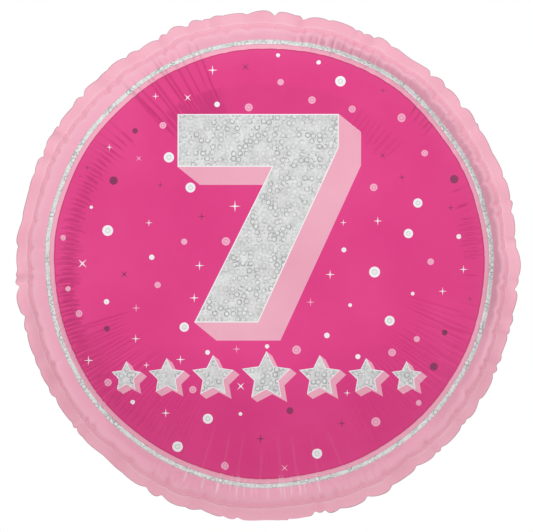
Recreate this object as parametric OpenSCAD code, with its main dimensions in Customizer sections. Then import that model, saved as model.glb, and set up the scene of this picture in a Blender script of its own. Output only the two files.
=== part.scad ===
// Round foil number balloon, filled. Two films are sealed face to face round a gathered border. A film valve
// stands inside the neck, and a filling tail folds back behind the border.
// Millimetres. The origin is the middle of the tail's fold line. +Z is up and the printed face looks along -Y.

/* [Envelope] */
// Diameter of the seam circle when the balloon is filled
seam_d = 350; // [310:1:450]
// Height of each crown above the seam
crown_h = 92.5; // [70:0.5:110]
// Flatness of the crown: 2 is an ellipse, more is flatter in the middle
crown_power = 3; // [2:0.1:4]
// Roundness of the crown where it turns in to the seam
crown_root = 0.53; // [0.45:0.01:0.6]
// Width of the sealed border outside the seam
border_w = 8; // [5:0.5:14]

/* [Gathers] */
// Gathers round the border
gathers = 54; // [40:1:60]
// How unevenly the gathers are spaced, in degrees of one gather
uneven_a = 50; // [0:1:90]
// Depth of the scallops in the border's edge
scallop_h = 2.2; // [0:0.1:4]
// Swing of the border's edge to the front and the back
ruffle_h = 1.8; // [0:0.1:3]
// Swing of the seam to the front and the back
seam_swing = 0.8; // [0:0.1:1.5]
// Depth of the pleats at the seam
pleat_h = 2; // [0:0.1:3]
// Length of the pleats from the seam towards the crown, as seen from the front
pleat_l = 44; // [20:1:70]

/* [Film] */
// Thickness of the printed films, which stands in for a few hundredths of a millimetre
film_t = 0.4; // [0.3:0.05:0.8]
// Thickness of each valve film
valve_t = 0.3; // [0.2:0.05:0.5]

/* [Valve] */
// Width of the valve films
valve_w = 22; // [14:1:28]
// Length of the valve films inside the balloon, from the fold line
valve_l = 95; // [50:1:130]
// Cut across each corner at the valve's inner end
valve_cut = 4; // [1:0.5:6]

/* [Tail] */
// Width of the tail
tail_w = 30; // [24:1:40]
// Length of the tail from the fold line to its mouth
tail_l = 55; // [35:1:65]
// Radius of the corners at the mouth
mouth_r = 4; // [2:0.5:6]
// Distance of the valve films from the mouth
inlet_l = 12; // [8:1:18]
// Angle by which the tail is folded back from hanging straight down
fold_a = 110; // [90:1:112]
// Gap across the fold between the border and the tail
fold_gap = 0.3; // [0.2:0.05:0.6]

/* [Print] */
// Distance of the silver ring from the seam, as seen from the front
ring_margin = 13; // [8:0.5:20]
// Width of the silver ring, as seen from the front
ring_w = 3.4; // [2:0.2:6]
// Width of the bare film between the silver ring and the printed disc, as seen from the front
ring_gap = 2.8; // [2:0.2:6]
// Height of the numeral
numeral_h = 150; // [80:1:180]
// Width of the numeral
numeral_w = 116; // [60:1:140]
// Thickness of the numeral's bar
numeral_bar = 38; // [20:1:50]
// Width of the numeral's foot
numeral_foot = 46; // [20:1:60]
// Height of the upright end of the bar, on the right
numeral_end = 24; // [4:1:34]
// Distance of the foot's left corner from the numeral's left side
foot_inset = 12; // [0:1:40]
// Distance of the inner corner under the bar from the numeral's left side
bar_inset = 68; // [40:1:80]
// Height of the numeral's middle above the middle of the disc
numeral_rise = 26; // [0:1:40]
// How far the numeral's block side runs to the right
block_x = 16; // [0:1:30]
// How far the numeral's block side runs downwards
block_z = 13; // [0:1:30]
// Thickness of each printed layer, which stands in for a few thousandths of a millimetre
print_t = 0.2; // [0.15:0.05:0.3]
// Gap under each printed layer
print_gap = 0.1; // [0.05:0.05:0.2]

/* [Hidden] */

seam_r = seam_d / 2;
edge_r = seam_r + border_w;
centre_z = edge_r;
// Distance of the outer faces of the border from the middle plane
outer_y = valve_t + film_t;
// Points round a whole ring, a half ring and a quarter ring of the films
whole_ring = 4 * gathers;
half_ring = 2 * gathers;
quarter_ring = gathers;
// The border is flat and calm for this angle to each side of the tail
neck_margin = 3;
neck_a = asin((tail_w / 2 + neck_margin) / seam_r);
neck_fade_a = 5;
// Waves in the spacing of the gathers, round the border
uneven_waves = 7;
tail_seal_w = (tail_w - valve_w) / 2;
// Rings of points across a crown, as shares of the seam's radius, with the points on each. The silver ring's and
// the disc's edges are among them, so that the printed layers follow the same facets as the film.
ring_outer_share = 1 - ring_margin / seam_r;
ring_inner_share = ring_outer_share - ring_w / seam_r;
disc_share = ring_inner_share - ring_gap / seam_r;
shoulder_share = 0.6 + 0.4 * ring_outer_share;
inner_shares = [0.9 * disc_share, 0.76 * disc_share, 0.56 * disc_share, 0.31 * disc_share];
inner_counts = [half_ring, quarter_ring, quarter_ring, quarter_ring];
disc_shares = concat([disc_share], inner_shares);
disc_counts = concat([half_ring], inner_counts);
ring_shares = [ring_outer_share, ring_inner_share];
ring_counts = [half_ring, half_ring];
crown_shares = concat([1, shoulder_share], ring_shares, disc_shares);
crown_counts = concat([whole_ring, whole_ring], ring_counts, disc_counts);
// Distances of the printed layers from the film's outer face
first_layer = print_gap;
second_layer = first_layer + print_t + print_gap;
// Depth of the block that cuts the numeral out of its layer
numeral_reach = crown_h + 2 * outer_y + border_w;

FILM_PINK = [0.96, 0.67, 0.76];
HOT_PINK = [0.88, 0.27, 0.54];
SILVER = [0.86, 0.86, 0.87];
CLEAR_FILM = [0.9, 0.92, 0.93];

// Gathers and pleats round the border. Angles run from the tail towards +X.
function smooth(t) = let (c = max(0, min(1, t))) c * c * (3 - 2 * c);
function from_tail(a) = min(a, 360 - a);
function calm(a) = smooth((from_tail(a) - neck_a) / neck_fade_a);
function gather_phase(a) = gathers * a + uneven_a * sin(uneven_waves * a);
function wave(a) = calm(a) * cos(gather_phase(a));
function dip(a) = calm(a) * (1 - cos(gather_phase(a))) / 2;
function reach(share) = smooth(1 - (1 - share) * seam_r / pleat_l);
function edge_u(a) = from_tail(a) < neck_a ? edge_r / cos(from_tail(a)) : edge_r - scallop_h * dip(a);

// The crown's height at a share of the seam's radius, its slope there, and the film's outward direction
function crown_y(share) = crown_h * pow(1 - pow(share, crown_power), crown_root);
function crown_slope(share) =
    crown_h / seam_r * crown_root * crown_power
    * pow(share, crown_power - 1) * pow(1 - pow(share, crown_power), crown_root - 1);
function out_u(share) = share >= 1 ? 1 : crown_slope(share) / sqrt(1 + pow(crown_slope(share), 2));
function out_y(share) = share >= 1 ? 0 : 1 / sqrt(1 + pow(crown_slope(share), 2));

// Rings of points. side is -1 for the front and 1 for the back.
function place(u, a, y) = [u * sin(a), y, centre_z - u * cos(a)];
function crown_point(share, a, side, out) =
    let (d = out - pleat_h * reach(share) * dip(a))
    place(
        share * seam_r + d * out_u(share),
        a,
        side * (outer_y + crown_y(share) + d * out_y(share)) + seam_swing * reach(share) * wave(a)
    );
function crown_ring(share, n, side, out) = [for (i = [0 : n - 1]) crown_point(share, 360 * i / n, side, out)];
function edge_point(a, y) = place(edge_u(a), a, y + ruffle_h * wave(a));
function edge_ring(n, y) = [for (i = [0 : n - 1]) edge_point(360 * i / n, y)];
function lip_point(a, y) = place(seam_r - film_t - pleat_h * dip(a), a, y + seam_swing * wave(a));
function lip_ring(n, y) = [for (i = [0 : n - 1]) lip_point(360 * i / n, y)];
function crown_rings(shares, counts, side, out) =
    [for (k = [0 : len(shares) - 1]) crown_ring(shares[k], counts[k], side, out)];
function pole(side, out) = [place(0, 0, side * (outer_y + crown_h + out))];
function backwards(list) = [for (k = [len(list) - 1 : -1 : 0]) list[k]];
function after_first(list) = [for (k = [1 : len(list) - 1]) list[k]];

// Faces between two rings that have equal counts, or one twice the other, or one a single point. back is true
// for rings that run back along the inner face, so that its facets lie under those of the outer face.
function band(a, na, b, nb, back) =
    na == 1 ? [for (i = [0 : nb - 1]) [a, b + (i + 1) % nb, b + i]]
    : nb == 1 ? [for (i = [0 : na - 1]) [a + i, a + (i + 1) % na, b]]
    : na == nb ? [
        for (i = [0 : na - 1], half = [0, 1])
            let (j = (i + 1) % na)
            back
                ? (half == 0 ? [a + i, a + j, b + i] : [a + j, b + j, b + i])
                : (half == 0 ? [a + i, a + j, b + j] : [a + i, b + j, b + i])
    ]
    : na < nb ? [
        for (i = [0 : na - 1], third = [0 : 2])
            let (j = (i + 1) % na, b0 = b + 2 * i, b1 = b0 + 1, b2 = b + 2 * j)
            third == 0 ? [a + i, b1, b0] : third == 1 ? [a + i, a + j, b1] : [a + j, b2, b1]
    ]
    : [
        for (i = [0 : nb - 1], third = [0 : 2])
            let (j = (i + 1) % nb, a0 = a + 2 * i, a1 = a0 + 1, a2 = a + 2 * j)
            third == 0 ? [a0, a1, b + i] : third == 1 ? [a1, b + j, b + i] : [a1, a2, b + j]
    ];
function starts(rings, k) = k == 0 ? 0 : starts(rings, k - 1) + len(rings[k - 1]);
function flip(faces) = [for (f = faces) backwards(f)];
function ring_faces(rings, turn, closed) =
    [
        for (k = [0 : len(rings) - (closed ? 1 : 2)])
            let (m = (k + 1) % len(rings))
            each band(starts(rings, k), len(rings[k]), starts(rings, m), len(rings[m]), k >= turn)
    ];

// A solid from rings that run out over the outer face, in front, and back along the inner one. closed joins the
// last ring to the first.
module ring_solid(front, back, side, closed = false) {
    rings = concat(front, back);
    faces = ring_faces(rings, len(front), closed);
    polyhedron(points = [for (r = rings) each r], faces = side < 0 ? faces : flip(faces));
}

module film(side) {
    outer = crown_rings(crown_shares, crown_counts, side, 0);
    inner = crown_rings(after_first(crown_shares), after_first(crown_counts), side, -film_t);
    front = concat(
        [pole(side, 0)],
        backwards(outer),
        [edge_ring(whole_ring, side * outer_y), edge_ring(whole_ring, side * valve_t)]
    );
    back = concat([lip_ring(whole_ring, side * valve_t)], inner, [pole(side, -film_t)]);
    ring_solid(front, back, side);
}

// A printed layer that covers the crown out to the disc's edge
module disc_layer(lift) {
    outer = crown_rings(disc_shares, disc_counts, -1, lift + print_t);
    inner = crown_rings(disc_shares, disc_counts, -1, lift);
    ring_solid(concat([pole(-1, lift + print_t)], backwards(outer)), concat(inner, [pole(-1, lift)]), -1);
}

// A flat sheet of film from an outline in X and Z
module sheet(y, t) {
    translate([0, y + t, 0])
        rotate([90, 0, 0])
            linear_extrude(t)
                children();
}

// Folds the tail back about the fold line, which lies on the border's back face
module folded() {
    translate([0, outer_y, 0])
        rotate([fold_a, 0, 0])
            translate([0, -outer_y, 0])
                children();
}

module valve_outline() {
    half_w = valve_w / 2;
    polygon([
        [-half_w, 0],
        [half_w, 0],
        [half_w, valve_l - valve_cut],
        [half_w - valve_cut, valve_l],
        [valve_cut - half_w, valve_l],
        [-half_w, valve_l - valve_cut],
    ]);
}

module tail_outline() {
    translate([-tail_w / 2, mouth_r - tail_l])
        square([tail_w, tail_l - mouth_r - fold_gap]);
    translate([mouth_r - tail_w / 2, -tail_l])
        square([tail_w - 2 * mouth_r, tail_l - fold_gap]);
    for (side = [-1, 1])
        translate([side * (tail_w / 2 - mouth_r), mouth_r - tail_l])
            circle(mouth_r, $fn = 48);
}

module inlet_outline() {
    translate([-valve_w / 2, inlet_l - tail_l])
        square([valve_w, tail_l - inlet_l - fold_gap]);
}

module tail_seal_outlines() {
    for (left = [-tail_w / 2, valve_w / 2])
        translate([left, mouth_r - tail_l])
            square([tail_seal_w, tail_l - mouth_r - fold_gap]);
}

// The numeral, from its top left corner round by the right
function numeral_points() =
    let (left = -numeral_w / 2, top = numeral_h / 2)
    [
        [left, top],
        [left + numeral_w, top],
        [left + numeral_w, top - numeral_end],
        [left + foot_inset + numeral_foot, -top],
        [left + foot_inset, -top],
        [left + bar_inset, top - numeral_bar],
        [left, top - numeral_bar],
    ];

module numeral_outline() {
    polygon(numeral_points());
}

// What the numeral sweeps on its way to the lower right, less the numeral itself
module numeral_side_outline() {
    points = numeral_points();
    sweep = [block_x, -block_z];
    difference() {
        for (i = [0 : len(points) - 1])
            let (p = points[i], q = points[(i + 1) % len(points)])
                polygon([p, q, q + sweep, p + sweep]);
        numeral_outline();
    }
}

module numeral_layer() {
    intersection() {
        disc_layer(second_layer);
        translate([-block_x / 2, 0, centre_z + numeral_rise + block_z / 2])
            sheet(-numeral_reach, numeral_reach)
                children();
    }
}

module front_film() {
    color(FILM_PINK)
        film(-1);
}

module back_film() {
    color(FILM_PINK)
        film(1);
}

// The fused layer between the two borders, open at the neck where the valve films pass
module border_seal() {
    lip_a = asin(valve_w / 2 / (seam_r - film_t));
    edge_a = atan(valve_w / 2 / edge_r);
    first = floor(lip_a * whole_ring / 360) + 1;
    steps = [for (i = [first : whole_ring - first]) 360 * i / whole_ring];
    lips = concat([lip_a], steps, [360 - lip_a]);
    edges = concat([edge_a], steps, [360 - edge_a]);
    last = len(steps) + 1;
    points = [
        for (j = [0 : last])
            each [
                edge_point(edges[j], -valve_t),
                edge_point(edges[j], valve_t),
                lip_point(lips[j], valve_t),
                lip_point(lips[j], -valve_t),
            ]
    ];
    sides = [
        for (j = [0 : last - 1], k = [0 : 3], half = [0, 1])
            let (p = 4 * j + k, q = 4 * j + (k + 1) % 4, p2 = p + 4, q2 = q + 4)
            k == 3
                ? (half == 0 ? [p, p2, q] : [q, p2, q2])
                : (half == 0 ? [p, q2, q] : [p, p2, q2])
    ];
    ends = [[0, 1, 2, 3], [4 * last + 3, 4 * last + 2, 4 * last + 1, 4 * last]];
    color(FILM_PINK)
        polyhedron(points = points, faces = concat(sides, ends));
}

module valve_front_film() {
    color(CLEAR_FILM)
        sheet(-valve_t, valve_t)
            valve_outline();
}

module valve_back_film() {
    color(CLEAR_FILM)
        sheet(0, valve_t)
            valve_outline();
}

module tail_front_film() {
    color(FILM_PINK)
        folded()
            sheet(-outer_y, film_t)
                tail_outline();
}

module tail_back_film() {
    color(FILM_PINK)
        folded()
            sheet(valve_t, film_t)
                tail_outline();
}

module tail_side_seals() {
    color(FILM_PINK)
        folded()
            sheet(-valve_t, 2 * valve_t)
                tail_seal_outlines();
}

module inlet_front_film() {
    color(CLEAR_FILM)
        folded()
            sheet(-valve_t, valve_t)
                inlet_outline();
}

module inlet_back_film() {
    color(CLEAR_FILM)
        folded()
            sheet(0, valve_t)
                inlet_outline();
}

module disc_print() {
    color(HOT_PINK)
        disc_layer(first_layer);
}

module ring_print() {
    outer = crown_rings(ring_shares, ring_counts, -1, first_layer + print_t);
    inner = crown_rings(ring_shares, ring_counts, -1, first_layer);
    color(SILVER)
        ring_solid(backwards(outer), inner, -1, closed = true);
}

module numeral_print() {
    color(SILVER)
        numeral_layer()
            numeral_outline();
}

module numeral_side_print() {
    color(FILM_PINK)
        numeral_layer()
            numeral_side_outline();
}

front_film();
back_film();
border_seal();
valve_front_film();
valve_back_film();
tail_front_film();
tail_back_film();
tail_side_seals();
inlet_front_film();
inlet_back_film();
disc_print();
ring_print();
numeral_print();
numeral_side_print();
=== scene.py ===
"""Looks of a round foil number balloon, in metres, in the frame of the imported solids.

The films, the sealed border between them, the printed layers and the tail are made here as gathered foil.
The valve films and the tail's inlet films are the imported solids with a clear-film material.
"""

import bpy
import numpy as np
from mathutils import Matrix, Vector
from mathutils.geometry import delaunay_2d_cdt

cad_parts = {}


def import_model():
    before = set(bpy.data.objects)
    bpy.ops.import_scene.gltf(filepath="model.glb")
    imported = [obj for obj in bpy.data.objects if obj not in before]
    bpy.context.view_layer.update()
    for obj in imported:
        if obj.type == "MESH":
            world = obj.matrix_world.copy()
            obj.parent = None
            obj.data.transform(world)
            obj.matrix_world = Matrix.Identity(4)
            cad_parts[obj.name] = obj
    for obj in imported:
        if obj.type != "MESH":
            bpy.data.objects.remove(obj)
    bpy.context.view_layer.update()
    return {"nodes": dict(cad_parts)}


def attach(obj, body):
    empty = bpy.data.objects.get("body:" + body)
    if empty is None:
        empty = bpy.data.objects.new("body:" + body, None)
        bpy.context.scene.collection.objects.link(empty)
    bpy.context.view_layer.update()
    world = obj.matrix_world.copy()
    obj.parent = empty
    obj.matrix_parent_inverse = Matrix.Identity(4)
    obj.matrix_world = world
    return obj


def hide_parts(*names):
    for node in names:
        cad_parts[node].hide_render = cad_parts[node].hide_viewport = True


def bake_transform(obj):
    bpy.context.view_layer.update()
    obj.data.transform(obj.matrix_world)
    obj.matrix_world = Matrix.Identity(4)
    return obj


SEED = 18
TURN = 2 * np.pi

# Picture, with the border's middle in pixels
PICTURE_W = 533
PICTURE_H = 532
METRES_PER_PIXEL = 0.000724
SEEN_X = 267.6
SEEN_Y = 265.9
CAMERA_DISTANCE = 15.0
SENSOR = 36.0

# Films and tail, in the sizes of the solids
SEAM_R = 0.175
CROWN_H = 0.0925
CROWN_POWER = 3
CROWN_ROOT = 0.53
BORDER_W = 0.008
EDGE_R = SEAM_R + BORDER_W
CENTRE_Z = EDGE_R
TAIL_W = 0.030
TAIL_L = 0.055
TAIL_SEAL_W = 0.004
MOUTH_R = 0.004
FOLD_A = np.radians(110)
HINGE_Y = 0.0007

# Thicknesses as they show, and the lifts of the print's two faces
BORDER_HALF = 0.00045
FILM_T = 0.0002
PRINT_LOW = 0.00005
PRINT_HIGH = 0.0002

# Gathers round the border, and the calm stretch at the neck
GATHERS = 82
UNEVEN = 0.65
NECK_MARGIN = 0.003
NECK_A = np.arcsin((TAIL_W / 2 + NECK_MARGIN) / SEAM_R)
NECK_FADE = np.radians(6)
# Angle beyond which a gather has no effect
GATHER_NEAR = 0.12
# The front edge's lap over the fold at the neck
NECK_LAP = 0.0012
LAP_OUT = 0.00025
LAP_FREE = 0.5
# Shares of the neck's angle where the edge is straight, and over which it turns free
NECK_STRAIGHT = 0.8
NECK_TURN = 0.25
# Lobes of film between the gathers
LOBE_H = (0.00054, 0.00117)
LOBE_SINK = 0.6
LOBE_REACH = 0.036
# Each lobe's edge, and its swing to the front or back
LOBE_EDGE = (0.00021, 0.00119)
LOBE_SKEW = (-0.9, 0.9)
FLUTTER_EDGE = 0.0017
FLUTTER_SEAM = 0.0006
FLUTTER_RANGE = (0.3, 1.0)
# Notches in the edge, steep on one side and long on the other
SCALLOP = 0.0011
SCALLOP_RANGE = (0.15, 2.4)
NOTCH_STEEP = (0.0015, 0.0026)
NOTCH_LONG = (0.0026, 0.0050)
NOTCH_SHARP = 1.4
# Slow swings of the border in and out: waves round it, height, and phase in degrees
SWINGS = [(2, 0.0013, 0), (3, 0.0004, 15), (5, 0.0004, 94), (7, 0.0002, 164), (8, 0.0002, -99)]
# Quicker swings, all of one height
WANDER = 0.0003
WANDER_WAVES = (10, 13, 16, 19, 23, 29)
# How far the edge stands out past that of the solids
EDGE_OUT = -0.0006
# The fused layer's edges, as parts of the border's width
LINE_PART = 1.06
LINE_NECK = 0.96
LINE_START = 0.05
LINE_RINGS = 6
# Share of a gather's depth at the seam, and the distance from it to the full depth
SEAM_HOLD = 0.35
SEAM_EASE = 0.009
# The film's foot, which stands in beside the seam
FOOT_IN = 0.0024
FOOT_TURN = 0.0030
FOOT_REACH = 0.014

# Creases up each film from the gathers
CREASE_DEPTH = (0.0010, 0.0026)
CREASE_REACH = 0.022
CREASE_LONGER = {-1: 0.055, 1: 0.095}
CREASE_FEW_LONG = 1.6
CREASE_W = (0.0013, 0.0024)
CREASE_WIDENS = 1.3
CREASE_FADE = 1.4
CREASE_SHARP = 1.15
# Slow swell of each crown, which starts at a share of the seam's radius
SWELL_WAVES = (4, 7, 9, 12, 15)
SWELL_H = (0.00027, 0.0009)
SWELL_FROM = 0.5
SWELL_OVER = 0.35

# Zones of soft streaks on each film: angle from the right, from and to, in degrees; streaks; outer and inner
# radius; half width; depth over half width; lean from the radius; painted shade along the streak, below 0
# for a painted highlight
STREAK_ZONES = {
    -1: [
        (148, 186, 27, 0.151, 0.131, 0.0013, 0.78, 0, 0),
        (184, 222, 28, 0.154, 0.138, 0.0012, 0.76, 0, 0.25),
        (105.5, 128, 11, 0.172, 0.118, 0.0011, 0.65, 0.13, 1),
        (137, 148, 6, 0.156, 0.128, 0.0010, 0.8, 0, 0.4),
        (198, 246, 38, 0.154, 0.106, 0.0009, 0.85, 0, 0.15),
        (240, 302, 30, 0.172, 0.157, 0.0010, 0.9, 0, 0),
        (247, 285, 9, 0.167, 0.152, 0.0007, 0.6, 0, -0.55),
        (256, 281, 8, 0.165, 0.151, 0.0006, 0.6, 0, -0.5),
        (249, 292, 8, 0.160, 0.122, 0.0009, 0.5, 0, -0.04),
        (244, 300, 14, 0.156, 0.120, 0.0020, 0.4, 0, 0),
        (300, 360, 14, 0.158, 0.132, 0.0018, 0.3, 0, 0),
        (301, 349, 34, 0.156, 0.100, 0.0008, 0.55, -0.1, 0.14),
        (2, 14, 8, 0.156, 0.140, 0.0010, 0.8, 0, 0.3),
        (14, 104, 18, 0.160, 0.138, 0.0024, 0.25, 0, 0),
        (20, 84, 34, 0.172, 0.160, 0.0010, 0.9, 0, 0),
        (60, 82, 9, 0.172, 0.157, 0.0010, 0.6, 0, 0.7),
        (39, 47, 5, 0.157, 0.146, 0.0010, 0.6, 0.1, 0.8),
        (42, 60, 9, 0.130, 0.110, 0.0012, 0.65, 0, 0.3),
    ],
    1: [
        (0, 360, 64, 0.166, 0.128, 0.0030, 0.47, 0, 0),
        (0, 360, 30, 0.150, 0.098, 0.0040, 0.3, 0, 0),
    ],
}
STREAK_END = 0.004
# How single streaks differ
STREAK_PLACE = (0.4, 0.6)
STREAK_W_RANGE = (0.75, 1.3)
STREAK_DEPTH_RANGE = (0.75, 1.15)
STREAK_LEAN_RANGE = (-0.06, 0.06)
STREAK_SHADE_RANGE = (0.7, 1)
STREAK_OUTER_LESS = 0.15
STREAK_INNER_SPREAD = 0.2
# A streak's reach in angle, its fade along and its section
STREAK_NEAR = 0.2
STREAK_FADE_IN = 0.35
STREAK_FADE_OUT = 0.25
STREAK_SHARP = 1.5
STREAK_RIM = 0.5
STREAK_RIM_W = 2
# Width of the painted shade or highlight along a streak, as a share of its half width
PAINTED_MARK_W = 0.72
# Painted light beside the seam, up the crown and over rings of the border, which offsets the shade in the
# corner there
SEAM_PAINTED_LIGHT = 0.3
SEAM_PAINTED_LIGHT_H = 0.030
SEAM_PAINTED_LIGHT_RINGS = 0.9

# Mesh
FINE = 1320
FILM_RINGS = {-1: 24, 1: 20}
BORDER_RINGS = 6
ARC_STEPS = 4000
# Rings further in: share of the seam's radius, and points. The print hides those of the front film.
FRONT_INNER = [(0.86, FINE), (0.835, FINE // 2), (0.79, FINE // 4)]
FRONT_INNER += [(s, FINE // 8) for s in (0.72, 0.6, 0.47, 0.33, 0.17)]
BACK_INNER = [(0.86, FINE)]
BACK_INNER += [(s, FINE // 2) for s in np.linspace(0.842, 0.6, 10)]
BACK_INNER += [(s, FINE // 4) for s in np.linspace(0.57, 0.3, 7)]
BACK_INNER += [(s, FINE // 8) for s in np.linspace(0.25, 0.07, 4)]
# Drop of the front film under the print, and where it starts, in shares of the seam's radius
HIDDEN_DROP = 0.0032
HIDDEN_FROM = 0.01
HIDDEN_EASE = 0.02

# Ring and disc, whose middle isn't quite the border's
RING_OUTER_R = 0.162
RING_INNER_R = 0.1586
RING_ROWS = 5
DISC_R = 0.1552
PRINT_X = 0.0012
PRINT_Z = 0.0018
# Numeral and the sweep of its block side
NUMERAL_H = 0.150
NUMERAL_W = 0.116
NUMERAL_BAR = 0.038
NUMERAL_FOOT = 0.046
NUMERAL_END = 0.024
FOOT_INSET = 0.012
BAR_INSET = 0.068
NUMERAL_RISE = 0.026
BLOCK_X = 0.016
BLOCK_Z = 0.013
# Row of stars
STAR_RADII = [0.0112, 0.0134, 0.0156, 0.0184, 0.0156, 0.0134, 0.0112]
STAR_GAP = 0.0044
STAR_ROW_Z = -0.0815
STAR_SWEEP = np.array([0.0042, -0.0034])
# Edges and mesh of the print
PRINT_EDGE = 0.0008
STAR_EDGE = 0.75 * PRINT_EDGE
PRINT_STEP = 0.0016
WELD = 2e-6
NORMAL_STEP = 0.0004
# Rings of points over the disc: first and last radius, rings, and points on each
LATTICE_R = DISC_R - 0.0022
LATTICE = [(LATTICE_R, 0.106, 19, FINE), (0.1025, 0.062, 13, FINE // 2), (0.057, 0.004, 11, FINE // 4)]
# Streaks up to this half width get rows of points of their own
NARROW = 0.0013
NARROW_STEP = 0.0030
NARROW_ROWS = np.array([-2, -1.2, -0.6, 0, 0.6, 1.2, 2])
# Kinds of confetti: share of all, smallest and largest radius
CONFETTI_KINDS = [
    ("ringed_dot", 0.21, 0.0033, 0.0040),
    ("white_dot", 0.10, 0.0012, 0.0020),
    ("pale_dot", 0.20, 0.0019, 0.0034),
    ("plum_dot", 0.09, 0.0019, 0.0034),
    ("white_glint", 0.22, 0.0024, 0.0044),
    ("pale_glint", 0.11, 0.0024, 0.0042),
    ("plum_glint", 0.10, 0.0024, 0.0042),
]
# Dots with a ring and an eye: the ring's kind, both radii as shares, and the dot's least radius
RINGED = {"ringed_dot": ("dot_ring", 0.5, 0.28, 0), "pale_dot": ("pale_ring", 0.6, 0.42, 0.0024)}
DOT_SIDES = 28
DOT_RING_SIDES = 24
DOT_EYE_SIDES = 20
GLINT_WAIST = 0.17
GLINTS_TURNED = 0.2
# Where confetti falls
CONFETTI_TRIES = 6000
CONFETTI_REACH = DISC_R - 0.004
CONFETTI_RIM = DISC_R - 0.003
CONFETTI_GAP = 0.0168
CONFETTI_GAP_SHARE = 0.6
CONFETTI_CLEAR = 0.0018

# Tail, in distances from the fold line
TAIL_START = -0.002
TAIL_CURL_END = 0.0014
TAIL_PARTING = 0.0015
TAIL_CURL_STEPS = 12
TAIL_STEPS = 72
TAIL_COLUMNS = 41
# The tail's films, from its middle plane
TAIL_FILM_T = 0.00012
TAIL_FILM_OFF = 0.00018
TAIL_FILM_MORE = 0.00022
TAIL_LEAST_BOW = -0.0001
# Bow of those films between the seals
BOW_H = 0.0010
BOW_FROM = 0.008
BOW_OVER = 0.02
BOW_EASE = 0.5
# Ripples in those films, with waves in radians a metre
RIPPLES = 7
RIPPLE_H = 0.00006
RIPPLE_SEALED = 0.3
RIPPLE_SLANT = (-0.5, 0.5)
RIPPLE_WAVES = (180, 420)
# The tail's seals
SEAL_HALF = 0.00016
SEAL_MORE = 0.0001
SEAL_IN = 0.0001
SEAL_STEPS = 60
SEAL_ROWS = 5
# Distance before and after the fold that dress_tail works out and leaves unused
BLEND_REACH = 0.0008

# Tints of the painted shade along the streaks, and the colour of the painted highlights and of the painted
# light beside the seam
PAINTED_SHADE_TINT = (0.76, 0.74, 0.74, 1)
PINK_PAINTED_SHADE_TINT = (0.74, 0.5, 0.66, 1)
PAINTED_HIGHLIGHT = (1.0, 0.9, 0.94, 1)
BLACK = (0, 0, 0, 1)
WHITE = (1, 1, 1, 1)

# Light and floor
WORLD_LIGHT = 0.74
KEY_AT = (0.0, -1.5, 2.1)
KEY_POWER = 15.0
KEY_SIZE = 0.9
FLOOR_Z = -0.2
FLOOR_R = 1.4
FLOOR_SIDES = 64
FLOOR_FADE = (0.55, 1.35)
# Cards, by where the printed face shows them: angle from the right, from and to, in degrees; inner and outer
# radius at the first angle; opacity; how much further out the last angle is; distance from the middle; glow
CARDS = {
    "card_left": (141, 223, 0.1355, 0.1445, 0.37, 0.0105, 0.6, 0),
    "card_top_left": (104, 127, 0.113, 0.1335, 0.40, 0, 0.6, 0),
    "card_top": (56, 108, 0.108, 0.132, 0.12, 0, 0.6, 0),
    "card_right": (2, 14, 0.144, 0.152, 0.40, 0, 0.6, 0),
    "card_right_back": (-24, 90, 0.1609, 0.1700, 0.8, 0, 0.6, 0),
    "card_top_back": (84, 114, 0.1610, 0.1690, 0.3, 0, 0.6, 0),
    "card_low_back": (186, 354, 0.1560, 0.1705, 0.24, 0, 0.36, 1.3),
    "card_low_left": (223, 264, 0.1612, 0.1652, 0.36, 0, 0.34, 0),
    "card_low_right": (280, 308, 0.1612, 0.1652, 0.36, 0, 0.34, 0),
    "card_right_low": (313, 354, 0.1612, 0.1680, 0.35, 0, 0.34, 0),
}
CARD_COLUMNS = 33
CARD_ROWS = 9
CARD_FADE = 0.15


def smooth(t):
    t = np.clip(t, 0, 1)
    return t * t * (3 - 2 * t)


def seeded(number):
    return np.random.default_rng([SEED, number])


def crown(share):
    """Radius, height and outward direction of a crown at a share of the seam's radius."""
    inside = np.minimum(share, 1 - 1e-9)
    rest = 1 - inside**CROWN_POWER
    height = CROWN_H * rest**CROWN_ROOT
    steep = CROWN_H / SEAM_R * CROWN_ROOT * CROWN_POWER
    slope = steep * inside ** (CROWN_POWER - 1) * rest ** (CROWN_ROOT - 1)
    size = np.hypot(1, slope)
    return SEAM_R * share, height, slope / size, 1 / size


ARC_SHARES = 1 - (1 - np.linspace(0, 1, ARC_STEPS + 1)) ** 3
ARC_RADIUS, ARC_HEIGHT, _, _ = crown(ARC_SHARES)
ARC_LENGTHS = np.concatenate([[0], np.cumsum(np.hypot(np.diff(ARC_RADIUS), np.diff(ARC_HEIGHT)))])


def from_seam(share):
    """Distance from the seam over the film."""
    return ARC_LENGTHS[-1] - np.interp(share, ARC_SHARES, ARC_LENGTHS)


def share_at(distance):
    """The share of the seam's radius at a distance from the seam."""
    return np.interp(ARC_LENGTHS[-1] - distance, ARC_LENGTHS, ARC_SHARES)


GATHER_STEPS = seeded(1).uniform(1 - UNEVEN, 1 + UNEVEN, GATHERS)
CREASES = TURN * (np.concatenate([[0], np.cumsum(GATHER_STEPS)]) / GATHER_STEPS.sum())
LOBE_HEIGHTS = seeded(2).uniform(*LOBE_H, GATHERS)
LOBE_FLUTTERS = seeded(3).uniform(*FLUTTER_RANGE, GATHERS) * np.where(np.arange(GATHERS) % 2, 1, -1)
LOBE_SKEWS = np.exp(seeded(15).uniform(*LOBE_SKEW, GATHERS))
LOBE_EDGES = seeded(16).uniform(*LOBE_EDGE, GATHERS)
NOTCHES = SCALLOP * seeded(4).exponential(1.0, GATHERS + 1).clip(*SCALLOP_RANGE)


def calm(angle):
    """0 at the neck, where the border lies flat, and 1 elsewhere."""
    from_neck = np.minimum(angle, TURN - angle)
    return smooth((from_neck - NECK_A) / NECK_FADE)


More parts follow.
